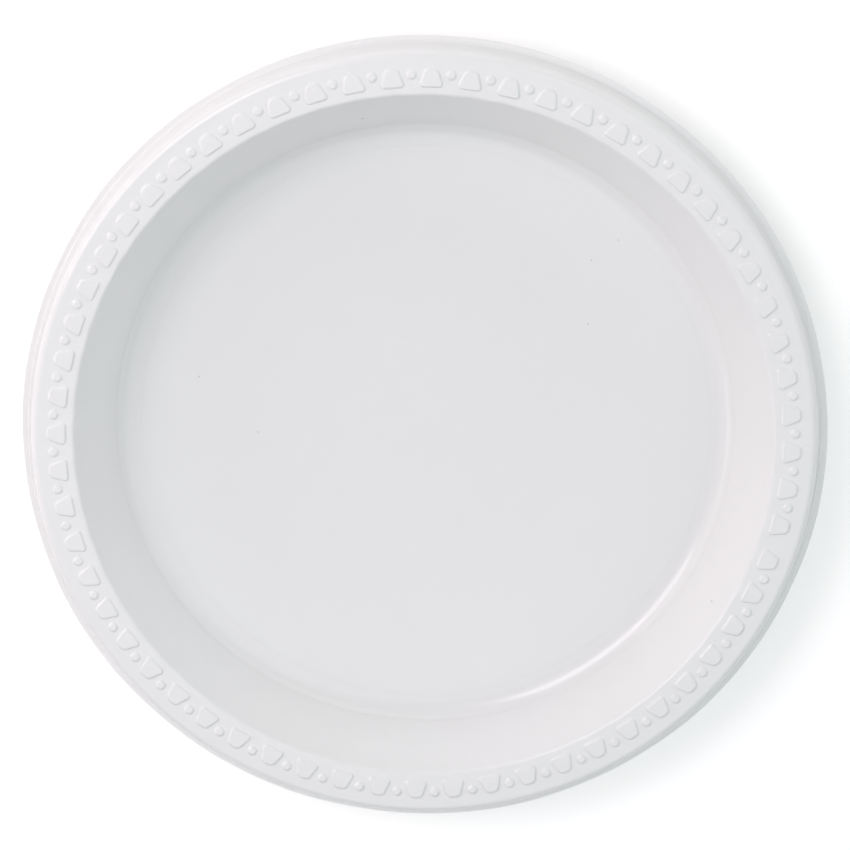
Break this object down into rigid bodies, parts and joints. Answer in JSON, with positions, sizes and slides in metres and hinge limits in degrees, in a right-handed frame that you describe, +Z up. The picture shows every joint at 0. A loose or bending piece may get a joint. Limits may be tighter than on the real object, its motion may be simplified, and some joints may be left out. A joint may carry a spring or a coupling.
{
  "type": "disposable plate",
  "caption": "Round thin-walled plastic plate with a sloping wall, a turned-down rim and an embossed border of bells and beads.",
  "frame": {"origin": "centre of the underside, on the surface that the plate stands on", "axes": "+Z up through the open side; +X through the middle of one bell of the border"},
  "size_m": [0.2286, 0.2286, 0.0209],
  "materials": {
    "plate": "glossy white, opaque"
  },
  "bodies": {
    "root": {"plate": "plate"}
  },
  "joints": []
}
